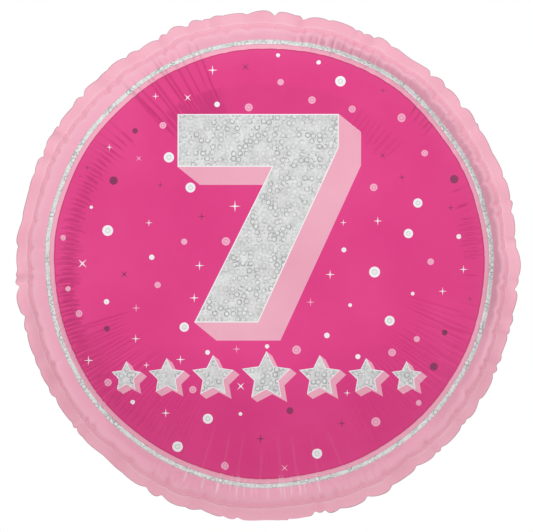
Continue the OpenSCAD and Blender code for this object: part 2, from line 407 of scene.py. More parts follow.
def lobe(angle):
    """Number of the lobe at an angle, and the place across it from 0 to 1."""
    number = np.clip(np.searchsorted(CREASES, angle) - 1, 0, GATHERS - 1)
    across = (angle - CREASES[number]) / (CREASES[number + 1] - CREASES[number])
    return number, np.clip(across, 0, 1)


def flutter(angle):
    """How far the border swings to the back, from -1 to 1."""
    number, across = lobe(angle)
    return calm(angle) * LOBE_FLUTTERS[number] * np.sin(np.pi * across)


def notch_widths():
    """Widths of each notch on its two sides."""
    rng = seeded(18)
    steep = rng.uniform(*NOTCH_STEEP, GATHERS + 1)
    long = rng.uniform(*NOTCH_LONG, GATHERS + 1)
    turned = rng.uniform(size=GATHERS + 1) < 0.5
    return np.where(turned, steep, long), np.where(turned, long, steep)


NOTCH_BEFORE, NOTCH_AFTER = notch_widths()


def wander(angle):
    """Swings of the border in and out."""
    rng = seeded(17)
    total = np.zeros_like(angle)
    for waves, height, phase in SWINGS:
        total += height * np.cos(waves * angle + np.radians(phase))
    for waves in WANDER_WAVES:
        total += WANDER * np.cos(waves * angle + rng.uniform(0, TURN))
    return total


def crease_set(number, side):
    """Depth, reach and width of each crease on one side."""
    rng = seeded(number)
    n = GATHERS + 1
    depth = rng.uniform(*CREASE_DEPTH, n)
    reach = CREASE_REACH + CREASE_LONGER[side] * rng.uniform(0, 1, n) ** CREASE_FEW_LONG
    width = rng.uniform(*CREASE_W, n)
    return depth, reach, width


CREASE_SETS = {-1: crease_set(5, -1), 1: crease_set(6, 1)}


def wrap(angle):
    return (angle + np.pi) % TURN - np.pi


def creases(side, distance, radius, angle):
    """Sharp folds that run up a film from the gathers."""
    depth, reach, width = CREASE_SETS[side]
    total = np.zeros_like(angle)
    for k in range(1, GATHERS):
        near = (np.abs(wrap(angle - CREASES[k])) < GATHER_NEAR) & (distance < reach[k])
        part = distance[near] / reach[k]
        across = np.abs(wrap(angle[near] - CREASES[k])) * radius[near]
        spread = width[k] * (1 + CREASE_WIDENS * part)
        total[near] -= depth[k] * (1 - part) ** CREASE_FADE * np.exp(-((across / spread) ** CREASE_SHARP))
    return total


def streak_list(side):
    """Each streak's angle, outer and inner radius, half width, depth, lean and shade."""
    rng = seeded(7 if side < 0 else 19)
    found = []
    for start, stop, count, outer, inner, half_width, steepness, lean, shade in STREAK_ZONES[side]:
        step = (stop - start) / count
        for k in range(count):
            right_angle = start + step * (k + rng.uniform(*STREAK_PLACE))
            width = half_width * rng.uniform(*STREAK_W_RANGE)
            found.append((
                np.radians(right_angle + 90) % TURN,
                outer - STREAK_OUTER_LESS * (outer - inner) * rng.uniform(0, 1),
                inner + STREAK_INNER_SPREAD * (outer - inner) * rng.uniform(-1, 1),
                width,
                steepness * width * rng.uniform(*STREAK_DEPTH_RANGE),
                lean + rng.uniform(*STREAK_LEAN_RANGE),
                shade * rng.uniform(*STREAK_SHADE_RANGE),
            ))
    return found


STREAKS = {side: streak_list(side) for side in (-1, 1)}


def streak_places(side, radius, angle):
    """For each streak: the points it reaches, their places across it and its strength there."""
    for at, outer, inner, half_width, depth, lean, shade in STREAKS[side]:
        near = (np.abs(wrap(angle - at)) < STREAK_NEAR) & (radius > inner) & (radius < outer + STREAK_END)
        along = (radius[near] - inner) / (outer + STREAK_END - inner)
        across = wrap(angle[near] - at) * radius[near] - lean * (radius[near] - inner)
        taper = smooth(along / STREAK_FADE_IN) * smooth((1 - along) / STREAK_FADE_OUT)
        yield near, across / half_width, taper, depth, shade


def streaks(side, radius, angle):
    """Soft radial dents in a film."""
    total = np.zeros_like(angle)
    for near, across, taper, depth, _ in streak_places(side, radius, angle):
        dip = np.exp(-(np.abs(across) ** STREAK_SHARP))
        rim = STREAK_RIM * np.exp(-((across / STREAK_RIM_W) ** 2))
        total[near] -= depth * taper * (dip - rim)
    return total


def mark_painted_shade_and_light(obj, light=0):
    """Notes at each point how much painted shade the streaks put there, below 0 where they put a painted
    highlight, less the painted light it is given.
    """
    points = np.empty(3 * len(obj.data.vertices))
    obj.data.vertices.foreach_get("co", points)
    x, _, z = points.reshape(-1, 3).T
    radius, angle = np.hypot(x, z - CENTRE_Z), np.arctan2(x, CENTRE_Z - z) % TURN
    mark = np.zeros_like(angle)
    for near, across, taper, _, shade in streak_places(-1, radius, angle):
        line = shade * taper * np.exp(-((across / PAINTED_MARK_W) ** 2))
        mark[near] = np.where(np.abs(line) > np.abs(mark[near]), line, mark[near])
    obj.data.attributes.new("painted_light_mark", "FLOAT", "POINT").data.foreach_set("value", mark - light)


def swell(side, share, angle):
    """Slow waves of a crown towards its seam."""
    rng = seeded(8 if side < 0 else 9)
    total = np.zeros_like(angle)
    for waves in SWELL_WAVES:
        total += rng.uniform(*SWELL_H) * np.cos(waves * angle + rng.uniform(0, TURN)) / np.sqrt(waves)
    return total * smooth((share - SWELL_FROM) / SWELL_OVER)


def dent(side, share, angle):
    """How far the film stands out from the smooth crown."""
    distance = from_seam(share)
    radius = SEAM_R * share
    number, across = lobe(angle)
    pillow = LOBE_HEIGHTS[number] * (4 * across * (1 - across) - LOBE_SINK)
    pillow *= smooth(1 - distance / LOBE_REACH)
    ease = SEAM_HOLD + (1 - SEAM_HOLD) * smooth(distance / SEAM_EASE)
    gathers = calm(angle) * ease * (pillow + creases(side, distance, radius, angle))
    foot = FOOT_IN * (1 - np.exp(-distance / FOOT_TURN)) * np.exp(-distance / FOOT_REACH)
    return gathers - foot + swell(side, share, angle) + streaks(side, radius, angle)


def place(radius, angle, y):
    return np.stack([radius * np.sin(angle), y + 0 * angle, CENTRE_Z - radius * np.cos(angle)], axis=-1)


def crown_points(side, share, angle, lift):
    share, angle, lift = (np.broadcast_to(x, np.shape(angle)).astype(float) for x in (share, angle, lift))
    radius, height, out_radius, out_height = crown(share)
    away = dent(side, share, angle) + lift
    near_seam = smooth(1 - from_seam(share) / LOBE_REACH)
    swing = FLUTTER_SEAM * flutter(angle) * near_seam
    radius = radius + away * out_radius + calm(angle) * wander(angle) * near_seam
    return place(radius, angle, side * (BORDER_HALF + height + away * out_height) + swing)


def edge_radius(angle, lap):
    """Radius of the border's scalloped edge, straight across the neck where it has no lap."""
    number, across = lobe(angle)
    pull = np.zeros_like(angle)
    for k in range(1, GATHERS):
        near = np.abs(wrap(angle - CREASES[k])) < GATHER_NEAR
        arc = wrap(angle[near] - CREASES[k]) * EDGE_R
        width = np.where(arc < 0, NOTCH_BEFORE[k], NOTCH_AFTER[k])
        pull[near] += NOTCHES[k] * np.exp(-(np.abs(arc / width) ** NOTCH_SHARP))
    bulge = LOBE_EDGES[number] * np.sin(np.pi * across ** LOBE_SKEWS[number])
    free = EDGE_R - pull + bulge + wander(angle) + EDGE_OUT
    from_neck = np.minimum(angle, TURN - angle)
    straight = (EDGE_R + lap * NECK_LAP) / np.cos(np.minimum(from_neck, NECK_A))
    hold = smooth((from_neck - NECK_STRAIGHT * NECK_A) / (NECK_TURN * NECK_A))
    hold = LAP_FREE * lap + (1 - LAP_FREE * lap) * hold
    return hold * free + (1 - hold) * straight


def border_points(side, part, angle, half, lap=0):
    """Points of the border, from the seam at part 0 to the edge at part 1."""
    seam = SEAM_R + dent(side, np.ones_like(angle), angle) + calm(angle) * wander(angle)
    radius = seam + part * (edge_radius(angle, lap) - seam)
    swing = (FLUTTER_SEAM + part * (FLUTTER_EDGE - FLUTTER_SEAM)) * flutter(angle)
    clear = lap * LAP_OUT * part * (1 - calm(angle))
    return place(radius, angle, side * (half + clear) + swing)


def ring_angles(count):
    return np.arange(count) * TURN / count


def band(a, na, b, nb):
    """Faces between two rings with equal counts, or one twice the other, or one a single point."""
    i = np.arange(max(na, nb) if 1 in (na, nb) else min(na, nb))
    j = (i + 1) % len(i)
    if na == 1:
        faces = [(a + 0 * i, b + j, b + i)]
    elif nb == 1:
        faces = [(a + i, a + j, b + 0 * i)]
    elif na == nb:
        faces = [(a + i, a + j, b + j, b + i)]
    elif na < nb:
        first, mid, last = b + 2 * i, b + 2 * i + 1, b + 2 * j
        faces = [(a + i, mid, first), (a + i, a + j, mid), (a + j, last, mid)]
    else:
        first, mid, last = a + 2 * i, a + 2 * i + 1, a + 2 * j
        faces = [(first, mid, b + i), (mid, b + j, b + i), (mid, last, b + j)]
    return np.concatenate([np.stack(f, axis=1) for f in faces]).tolist()


def linked(name, data):
    obj = bpy.data.objects.new(name, data)
    bpy.context.collection.objects.link(obj)
    return obj


def new_object(name, points, faces):
    mesh = bpy.data.meshes.new(name)
    mesh.from_pydata(np.asarray(points).tolist(), [], faces)
    mesh.validate()
    return linked(name, mesh)


def ring_object(name, rings, side, sharp_rings, materials):
    """A closed film from rings over its outer face and back. Its border has the second material."""
    starts = np.concatenate([[0], np.cumsum([len(r) for r in rings])])
    faces, slots = [], []
    for k in range(len(rings) - 1):
        added = band(starts[k], len(rings[k]), starts[k + 1], len(rings[k + 1]))
        faces += added
        slots += [int(sharp_rings[0] <= k < sharp_rings[-1])] * len(added)
    if side > 0:
        faces = [f[::-1] for f in faces]
    obj = new_object(name, np.concatenate(rings), faces)
    owner = np.repeat(np.arange(len(rings)), np.diff(starts))
    ends = np.empty(2 * len(obj.data.edges), int)
    obj.data.edges.foreach_get("vertices", ends)
    ends = owner[ends.reshape(-1, 2)]
    sharp = (ends[:, 0] == ends[:, 1]) & np.isin(ends[:, 0], sharp_rings)
    obj.data.shade_smooth()
    obj.data.attributes.new("sharp_edge", "BOOLEAN", "EDGE").data.foreach_set("value", sharp)
    for material in materials:
        obj.data.materials.append(material)
    obj.data.polygons.foreach_set("material_index", slots)
    return obj


def closed_ring(name, rings, material):
    """A solid from rings of equal counts, with the last joined to the first."""
    count = len(rings[0])
    starts = count * np.arange(len(rings))
    faces = []
    for a, b in zip(starts, np.roll(starts, -1)):
        faces += band(a, count, b, count)
    obj = new_object(name, np.concatenate(rings), faces)
    obj.data.shade_smooth()
    obj.data.materials.append(material)
    return obj


def thin_piece(name, upper, lower, faces):
    """A closed piece between two like sets of points, from the faces of the upper one."""
    n = len(upper)
    edges = np.stack([faces, np.roll(faces, -1, axis=1)], axis=-1).reshape(-1, 2)
    _, first, counts = np.unique(np.sort(edges, axis=1), axis=0, return_index=True, return_counts=True)
    start, end = edges[first[counts == 1]].T
    rim = np.stack([end, start, start + n, end + n], axis=1)
    every = faces.tolist() + (faces[:, ::-1] + n).tolist() + rim.tolist()
    obj = new_object(name, np.concatenate([upper, lower]), every)
    obj.data.shade_smooth()
    return obj


def film_rings(side, inner_rings):
    """Rings of one film over its outer face and back, and the numbers of the sharp ones."""
    fine = share_at(np.linspace(from_seam(inner_rings[0][0]), 0, FILM_RINGS[side] + 1)[1:])
    layout = inner_rings[::-1] + [(s, FINE) for s in fine]

    def face(lift):
        rings = [place(np.zeros(1), np.zeros(1), np.array([side * (BORDER_HALF + CROWN_H + lift)]))]
        for share, count in layout:
            hidden = smooth((DISC_R / SEAM_R - HIDDEN_FROM - share) / HIDDEN_EASE) if side < 0 else 0
            rings.append(crown_points(side, share, ring_angles(count), lift - HIDDEN_DROP * hidden))
        return rings

    angles = ring_angles(FINE)
    parts = np.linspace(0, 1, BORDER_RINGS + 1)[1:]
    lap = int(side < 0)
    outer = face(0) + [border_points(side, p, angles, BORDER_HALF, lap) for p in parts]
    under = BORDER_HALF - FILM_T
    inner = [border_points(side, p, angles, under, lap) for p in parts[::-1]] + face(-FILM_T)[::-1]
    seam = len(layout)
    edge = seam + len(parts)
    return outer + inner, [seam, edge, edge + 1, edge + 1 + len(parts)]


def front_foil(materials):
    rings, sharp = film_rings(-1, FRONT_INNER)
    obj = ring_object("front_foil", rings, -1, sharp, materials)
    # Painted light beside the seam, which offsets the shade in the corner there
    light = [smooth(1 - (-ring[:, 1] - BORDER_HALF) / SEAM_PAINTED_LIGHT_H) for ring in rings[: sharp[0]]]
    light += [np.full(len(ring), np.exp(-k / SEAM_PAINTED_LIGHT_RINGS)) for k, ring in enumerate(rings[sharp[0] :])]
    mark_painted_shade_and_light(obj, SEAM_PAINTED_LIGHT * np.concatenate(light))
    return obj


def back_foil(materials):
    rings, sharp = film_rings(1, BACK_INNER)
    return ring_object("back_foil", rings, 1, sharp, materials)


def sealed_border():
    """The fused layer between the two borders, which shows as a line round the edge."""
    angles = ring_angles(FINE)
    half = BORDER_HALF - FILM_T
    reach = LINE_NECK + (LINE_PART - LINE_NECK) * calm(angles)
    parts = [p * reach for p in np.linspace(LINE_START, 1, LINE_RINGS)]
    rings = [border_points(-1, p, angles, half) for p in parts]
    rings += [border_points(1, p, angles, half) for p in parts[::-1]]
    return closed_ring("border_line", rings, border_foil())


# The print, laid out flat as seen from the front, from the middle of the disc


def circle(x, z, radius, count):
    a = ring_angles(count)
    return np.stack([x + radius * np.cos(a), z + radius * np.sin(a)], axis=1)


def numeral_outline():
    left, top = -NUMERAL_W / 2, NUMERAL_H / 2
    points = np.array([
        (left, top),
        (left, top - NUMERAL_BAR),
        (left + BAR_INSET, top - NUMERAL_BAR),
        (left + FOOT_INSET, -top),
        (left + FOOT_INSET + NUMERAL_FOOT, -top),
        (left + NUMERAL_W, top - NUMERAL_END),
        (left + NUMERAL_W, top),
    ])
    return points + (-BLOCK_X / 2, NUMERAL_RISE + BLOCK_Z / 2)


def star_outline(x, z, radius, turn=0.0, points=5, waist=0.5):
    a = np.pi / 2 + turn + np.arange(2 * points) * np.pi / points
    r = np.where(np.arange(2 * points) % 2, waist * radius, radius)
    return np.stack([x + r * np.cos(a), z + r * np.sin(a)], axis=1)


def inset(outline, margin):
    """An anticlockwise outline moved in by a margin."""
    ahead = np.roll(outline, -1, axis=0) - outline
    ahead /= np.linalg.norm(ahead, axis=1, keepdims=True)
    inward = np.stack([-ahead[:, 1], ahead[:, 0]], axis=1)
    before, before_in = np.roll(ahead, 1, axis=0), np.roll(inward, 1, axis=0)
    turn = before[:, 0] * ahead[:, 1] - before[:, 1] * ahead[:, 0]
    gap = inward - before_in
    along = (gap[:, 0] * ahead[:, 1] - gap[:, 1] * ahead[:, 0]) / turn
    return outline + margin * (before_in + along[:, None] * before)


def swept_sides(outline, sweep):
    """Quads that an outline's edges sweep, each anticlockwise."""
    quads = []
    for p, q in zip(outline, np.roll(outline, -1, axis=0)):
        area = (q[0] - p[0]) * sweep[1] - (q[1] - p[1]) * sweep[0]
        if abs(area) > 1e-9:
            quads.append(np.array([p, q, q + sweep, p + sweep])[:: 1 if area > 0 else -1])
    return quads


def star_row():
    total = 2 * sum(STAR_RADII) + STAR_GAP * (len(STAR_RADII) - 1)
    x = -total / 2 - STAR_SWEEP[0] / 2
    stars = []
    for radius in STAR_RADII:
        stars.append(star_outline(x + radius, STAR_ROW_Z, radius))
        x += 2 * radius + STAR_GAP
    return stars


def dense(outline):
    """The outline with points added along its edges."""
    points = []
    for p, q in zip(outline, np.roll(outline, -1, axis=0)):
        count = int(np.ceil(np.linalg.norm(q - p) / PRINT_STEP))
        points += [p + (q - p) * k / count for k in range(count)]
    return np.array(points)


def distance_to(outlines, point):
    """Distance of a point from the nearest of the outlines, 0 inside one."""
    best = 1.0
    for outline in outlines:
        following = np.roll(outline, -1, axis=0)
        edge, to_point = following - outline, point - outline
        t = np.clip((edge * to_point).sum(1) / (edge**2).sum(1), 0, 1)
        best = min(best, np.linalg.norm(to_point - t[:, None] * edge, axis=1).min())
        above = (outline[:, 1] > point[1]) != (following[:, 1] > point[1])
        span = following[:, 1] - outline[:, 1]
        cross = outline[:, 0] + (point[1] - outline[:, 1]) * edge[:, 0] / np.where(span == 0, 1, span)
        if np.count_nonzero(above & (cross > point[0])) % 2:
            return 0.0
    return best


def confetti(taken):
    """A scatter of dots and four-point glints, clear of the outlines that are taken."""
    rng = seeded(21)
    shares = np.array([k[1] for k in CONFETTI_KINDS])
    limits = np.cumsum(shares) / shares.sum()
    placed = []
    for _ in range(CONFETTI_TRIES):
        reach = CONFETTI_REACH * np.sqrt(rng.uniform())
        turn = rng.uniform(0, TURN)
        at = reach * np.array([np.cos(turn), np.sin(turn)])
        name, _, small, large = CONFETTI_KINDS[np.searchsorted(limits, rng.uniform())]
        radius = rng.uniform(small, large)
        if np.hypot(*at) + radius > CONFETTI_RIM:
            continue
        if any(np.hypot(*(at - p[0])) < CONFETTI_GAP + CONFETTI_GAP_SHARE * (radius + p[1]) for p in placed):
            continue
        if distance_to(taken, at) < radius + CONFETTI_CLEAR:
            continue
        placed.append((at, radius, name, rng.uniform() < GLINTS_TURNED))
    return placed


def print_shapes():
    """Outlines with their kinds. Where two overlap, the later one shows."""
    numeral = numeral_outline()
    sweep = np.array([BLOCK_X, -BLOCK_Z])
    stars = star_row()
    shapes = [("disc_edge", circle(0, 0, DISC_R, FINE)), ("disc", circle(0, 0, DISC_R - PRINT_EDGE, FINE))]
    shapes += [("numeral_side", quad) for quad in swept_sides(numeral, sweep)]
    shapes += [("numeral_edge", numeral), ("numeral", inset(numeral, PRINT_EDGE))]
    for star in stars:
        shapes += [("star_side", quad) for quad in swept_sides(star, STAR_SWEEP)]
    for star in stars:
        shapes += [("star_edge", star), ("star", inset(star, STAR_EDGE))]
    taken = [o for kind, o in shapes if not kind.startswith("disc")]
    for (x, z), radius, kind, turned in confetti(taken):
        if kind.endswith("dot"):
            shapes.append((kind, circle(x, z, radius, DOT_SIDES)))
        else:
            turn = np.pi / 4 if turned else 0.0
            shapes.append((kind, star_outline(x, z, radius, turn, points=4, waist=GLINT_WAIST)))
        if kind not in RINGED:
            continue
        ring_kind, ring_share, eye_share, least = RINGED[kind]
        if radius > least:
            shapes.append((ring_kind, circle(x, z, ring_share * radius, DOT_RING_SIDES)))
            shapes.append((kind, circle(x, z, eye_share * radius, DOT_EYE_SIDES)))
    return shapes


def disc_lattice():
    """Points over the disc, closer together towards its creased edge."""
    rings = []
    for first, last, count, points in LATTICE:
        rings += [circle(0, 0, r, points) for r in np.linspace(first, last, count)]
    return np.concatenate(rings + [narrow_streak_points()])


def narrow_streak_points():
    """Rows of points across each narrow streak on the disc."""
    rows = []
    for at, outer, inner, half_width, _, lean, _ in STREAKS[-1]:
        if half_width > NARROW:
            continue
        along = np.arange(inner, outer + STREAK_END, NARROW_STEP)
        radius, across = np.meshgrid(along, half_width * NARROW_ROWS)
        angle = at + (across + lean * (radius - inner)) / radius
        x, z = radius * np.sin(angle) - PRINT_X, -radius * np.cos(angle) - PRINT_Z
        flat = np.stack([x, z], axis=-1).reshape(-1, 2)
        rows.append(flat[np.hypot(*flat.T) < LATTICE_R])
    return np.concatenate(rows)


def on_film(flat, lift):
    """Points of the print on the front film, at a lift over it."""
    x, z = flat[:, 0] + PRINT_X, flat[:, 1] + PRINT_Z
    angle = np.arctan2(x, -z) % TURN
    share = np.hypot(x, z) / SEAM_R
    return crown_points(-1, share, angle, lift)


def film_normals(flat):
    across = on_film(flat + (NORMAL_STEP, 0), 0) - on_film(flat - (NORMAL_STEP, 0), 0)
    up = on_film(flat + (0, NORMAL_STEP), 0) - on_film(flat - (0, NORMAL_STEP), 0)
    normal = np.cross(across, up)
    return normal / np.linalg.norm(normal, axis=1, keepdims=True)


def slab(name, flat, triangles, kinds, slots):
    """A printed layer from flat triangles, with each one's kind and each kind's material."""
    used, index = np.unique(triangles, return_inverse=True)
    flat = flat[used]
    obj = thin_piece(name, on_film(flat, PRINT_HIGH), on_film(flat, PRINT_LOW), index.reshape(-1, 3))
    order = list(slots)
    for kind in order:
        obj.data.materials.append(slots[kind])
    numbers = 2 * [order.index(k) for k in kinds]
    numbers += [0] * (len(obj.data.polygons) - len(numbers))
    obj.data.polygons.foreach_set("material_index", numbers)
    normals = film_normals(flat)
    obj.data.normals_split_custom_set_from_vertices(np.concatenate([normals, -normals]).tolist())
    return obj


def print_layers(groups):
    """Cuts the flat print into triangles and makes one piece for each group of kinds."""
    shapes = print_shapes()
    points, outlines = [], []
    for outline in (dense(o) for _, o in shapes):
        outlines.append(list(range(len(points), len(points) + len(outline))))
        points += outline.tolist()
    points += disc_lattice().tolist()
    cut = delaunay_2d_cdt([Vector(p) for p in points], [], outlines, 1, WELD, True)
    flat = np.array([tuple(v) for v in cut[0]])
    triangles = np.array(cut[2])
    top = [shapes[max(owners)][0] for owners in cut[5]]
    pieces = {}
    for name, slots in groups.items():
        chosen = np.array([k in slots for k in top])
        kinds = [k for k in top if k in slots]
        pieces[name] = slab(name, flat, triangles[chosen], kinds, slots)
    return pieces


def ring_ink():
    """The silver ring round the disc."""
    flat = [circle(0, 0, r, FINE) for r in np.linspace(RING_INNER_R, RING_OUTER_R, RING_ROWS)]
    high = [on_film(f, PRINT_HIGH) for f in flat]
    low = [on_film(f, PRINT_LOW) for f in flat[::-1]]
    obj = closed_ring("ring_ink", high + low, prismatic_silver("ring_silver", 244))
    # Painted shade and painted highlights along the streaks on the ring
    mark_painted_shade_and_light(obj)
    return obj


# The tail


def tail_points(t, x, off):
    """Points of the folded tail, t along it from the fold line, x across and off towards its back film."""
    arc = HINGE_Y * FOLD_A
    turn = np.clip(t / arc, 0, 1) * FOLD_A
    reach = HINGE_Y - off
    y = HINGE_Y - reach * np.cos(turn)
    z = -reach * np.sin(turn)
    straight = np.maximum(t - arc, 0)
    y = y + straight * np.sin(FOLD_A)
    z = z - straight * np.cos(FOLD_A) + np.maximum(-t, 0)
    return np.stack([x, y, z], axis=-1)


def tail_grid():
    """Distance along the tail and place across it, from -1 to 1."""
    t = np.concatenate([
        np.linspace(TAIL_START, TAIL_CURL_END, TAIL_CURL_STEPS),
        np.linspace(TAIL_CURL_END, TAIL_L, TAIL_STEPS)[1:],
    ])
    return np.meshgrid(t, np.linspace(-1, 1, TAIL_COLUMNS), indexing="ij")


def tail_half_width(t):
    into = np.clip(t - (TAIL_L - MOUTH_R), 0, MOUTH_R)
    return TAIL_W / 2 - MOUTH_R + np.sqrt(np.maximum(MOUTH_R**2 - into**2, 0.0))


def parted(t):
    """How far the tail's films have parted, from 0 above the fold line to 1 at it."""
    return smooth((t + TAIL_PARTING) / TAIL_PARTING)


def tail_bow(t, across, side):
    """How far a film of the tail stands off the tail's middle plane."""
    rng = seeded(13 if side < 0 else 14)
    sealed = TAIL_SEAL_W / (TAIL_W / 2)
    open_part = smooth((1 - sealed - np.abs(across)) / BOW_EASE)
    along = smooth((t - BOW_FROM) / BOW_OVER)
    bow = BOW_H * open_part * along
    ripple = np.zeros_like(t)
    for _ in range(RIPPLES):
        slant = rng.uniform(*RIPPLE_SLANT)
        phase = rng.uniform(0, TURN)
        waves = rng.uniform(*RIPPLE_WAVES)
        ripple += np.cos(waves * (t + slant * across * TAIL_W / 2) + phase)
    return bow + RIPPLE_H * ripple * along * (RIPPLE_SEALED + open_part)


def tail_film(name, side):
    t, across = tail_grid()
    x = across * tail_half_width(t)
    start = TAIL_FILM_OFF + TAIL_FILM_MORE * parted(t)
    off = side * (start + np.maximum(tail_bow(t, across, side), TAIL_LEAST_BOW))
    outer = tail_points(t, x, off)
    inner = tail_points(t, x, off - side * TAIL_FILM_T)
    return grid_slab(name, outer, inner, side)


def grid_quads(rows, columns):
    i, j = np.meshgrid(np.arange(rows - 1), np.arange(columns - 1), indexing="ij")
    a = (i * columns + j).ravel()
    return np.stack([a, a + 1, a + columns + 1, a + columns], axis=1)


def grid_slab(name, outer, inner, side):
    """A thin piece between two grids of points."""
    quads = grid_quads(*outer.shape[:2])[:, ::side]
    return thin_piece(name, outer.reshape(-1, 3), inner.reshape(-1, 3), quads)


def tail_seals():
    """The two sealed strips along the tail's sides, between its films."""
    pieces = []
    along = np.linspace(-TAIL_PARTING, TAIL_L - MOUTH_R, SEAL_STEPS)
    t, part = np.meshgrid(along, np.linspace(0, 1, SEAL_ROWS), indexing="ij")
    half = SEAL_HALF + SEAL_MORE * parted(t)
    for side in (-1, 1):
        x = side * (TAIL_W / 2 - SEAL_IN - TAIL_SEAL_W * part)
        name = "tail_seal_left" if side < 0 else "tail_seal_right"
        pieces.append(grid_slab(name, tail_points(t, x, half), tail_points(t, x, -half), -side))
    return pieces


# Materials


def srgb(*levels):
    """A colour from its red, green and blue out of 255, or a grey from one level."""
    values = np.broadcast_to(levels, 3) / 255
    linear = np.where(values <= 0.04045, values / 12.92, ((values + 0.055) / 1.055) ** 2.4)
    return (*linear.tolist(), 1.0)


class Look:
    """A material with one Principled shader, and short ways to add nodes to it."""

    def __init__(self, name):
        self.material = bpy.data.materials.new(name)
        self.material.use_nodes = True
        self.tree = self.material.node_tree
        self.shader = self.tree.nodes["Principled BSDF"]
        self.coordinates = self.tree.nodes.new("ShaderNodeTexCoord").outputs["Object"]

    def node(self, kind, settings=None, **inputs):
        made = self.tree.nodes.new(kind)
        for key, value in (settings or {}).items():
            setattr(made, key, value)
        for key, value in inputs.items():
            self.put(made.inputs[key.replace("_", " ")], value)
        return made

    def put(self, socket, value):
        if isinstance(value, bpy.types.NodeSocket):
            self.tree.links.new(value, socket)
        else:
            socket.default_value = value

    def set(self, name, value):
        self.put(self.shader.inputs[name], value)

    def noise(self, scale, detail=3.0, vector=None):
        made = self.node("ShaderNodeTexNoise", Scale=scale, Detail=detail, Roughness=0.55)
        self.put(made.inputs["Vector"], vector or self.coordinates)
        return made.outputs["Fac"]

    def ramp(self, value, stops):
        made = self.node("ShaderNodeValToRGB", Fac=value)
        elements = made.color_ramp.elements
        elements[0].position, elements[0].color = stops[0]
        elements[1].position, elements[1].color = stops[-1]
        for position, colour in stops[1:-1]:
            elements.new(position).color = colour
        return made.outputs["Color"]

    def spread(self, value, low, high, start=0.0, stop=1.0):
        """Maps a value from start to stop onto low to high."""
        limits = {"From_Min": start, "From_Max": stop, "To_Min": low, "To_Max": high}
        return self.node("ShaderNodeMapRange", Value=value, **limits).outputs["Result"]

    def mix(self, share, first, second, blend="MIX"):
        made = self.node("ShaderNodeMix", {"data_type": "RGBA", "blend_type": blend})
        self.put(made.inputs[0], share)
        self.put(made.inputs[6], first)
        self.put(made.inputs[7], second)
        return made.outputs[2]

    # Painted shade and painted highlights along the streaks, and painted light beside the seam, from each
    # point's mark
    def with_painted_shade_and_light(self, colour, tint):
        mark = self.node("ShaderNodeAttribute", {"attribute_name": "painted_light_mark"}).outputs["Fac"]
        bright = self.spread(mark, 0, 1, 0, -1)
        dark = self.mix(mark, colour, tint, "MULTIPLY")
        return self.mix(bright, dark, PAINTED_HIGHLIGHT)

    def bump(self, height, distance, strength=1.0):
        made = self.node("ShaderNodeBump", Height=height, Distance=distance, Strength=strength)
        self.set("Normal", made.outputs["Normal"])


def foil(name, tones, metallic, roughness, specular=0.5, painted_shade_tint=PAINTED_SHADE_TINT):
    """Satin foil clouded with three tones, with painted shade and painted highlights along the streaks, fine
    crinkle and uneven gloss.
    """
    look = Look(name)
    stops = [(at, srgb(*tone)) for at, tone in zip((0.3, 0.5, 0.72), tones)]
    colour = look.ramp(look.noise(14, 4), stops)
    look.set("Base Color", look.with_painted_shade_and_light(colour, painted_shade_tint))
    look.set("Metallic", metallic)
    look.set("Specular IOR Level", specular)
    look.set("Roughness", look.spread(look.noise(60, 3), roughness - 0.05, roughness + 0.05))
    look.bump(look.noise(260, 4), 0.00012, 0.5)
    return look.material


def pale_foil():
    tones = (244, 165, 189), (247, 171, 194), (250, 177, 199)
    return foil("pale_foil", tones, 0.36, 0.25, specular=0.25)


# The seal's duller gloss is its own; its colour, lighter than the pale foil, is painted light that offsets
# the shade near the seam
def sealed_foil_with_painted_light():
    tones = (249, 186, 204), (252, 191, 208), (254, 197, 213)
    return foil("sealed_foil_with_painted_light", tones, 0.2, 0.4)


def pink_foil():
    tones = (223, 59, 132), (227, 64, 136), (232, 71, 142)
    return foil("pink_foil", tones, 0.55, 0.11, 0.35, PINK_PAINTED_SHADE_TINT)


def deep_pink_foil():
    tones = (198, 40, 108), (203, 44, 112), (208, 50, 118)
    return foil("deep_pink_foil", tones, 0.45, 0.3)


def border_foil():
    tones = (196, 150, 164), (206, 158, 172), (214, 166, 180)
    return foil("border_foil", tones, 0.2, 0.4)


def side_ink():
    tones = (239, 163, 187), (243, 171, 194), (247, 179, 200)
    return foil("side_ink", tones, 0.2, 0.36)


def bubbles(look, flat, scale, size, fewest):
    """Thin bubble outlines, fainter in some cells, and the brightness inside them."""
    kind = {"feature": "F1", "voronoi_dimensions": "2D"}
    cells = look.node("ShaderNodeTexVoronoi", kind, Vector=flat, Scale=scale, Randomness=0.62)
    line = look.ramp(cells.outputs["Distance"], [
        (size - 0.14, BLACK),
        (size - 0.04, WHITE),
        (size + 0.04, WHITE),
        (size + 0.12, BLACK),
    ])
    inside = look.ramp(cells.outputs["Distance"], [(size - 0.18, (0.4, 0.4, 0.4, 1)), (size - 0.06, BLACK)])
    strong = look.ramp(cells.outputs["Color"], [(fewest, BLACK), (fewest + 0.5, WHITE)])
    patch = look.ramp(look.noise(75, 2, flat), [(0.4, (0.3, 0.3, 0.3, 1)), (0.58, WHITE)])
    strong = look.mix(1.0, strong, patch, "MULTIPLY")
    return look.mix(1.0, line, strong, "MULTIPLY"), look.mix(1.0, inside, strong, "MULTIPLY")


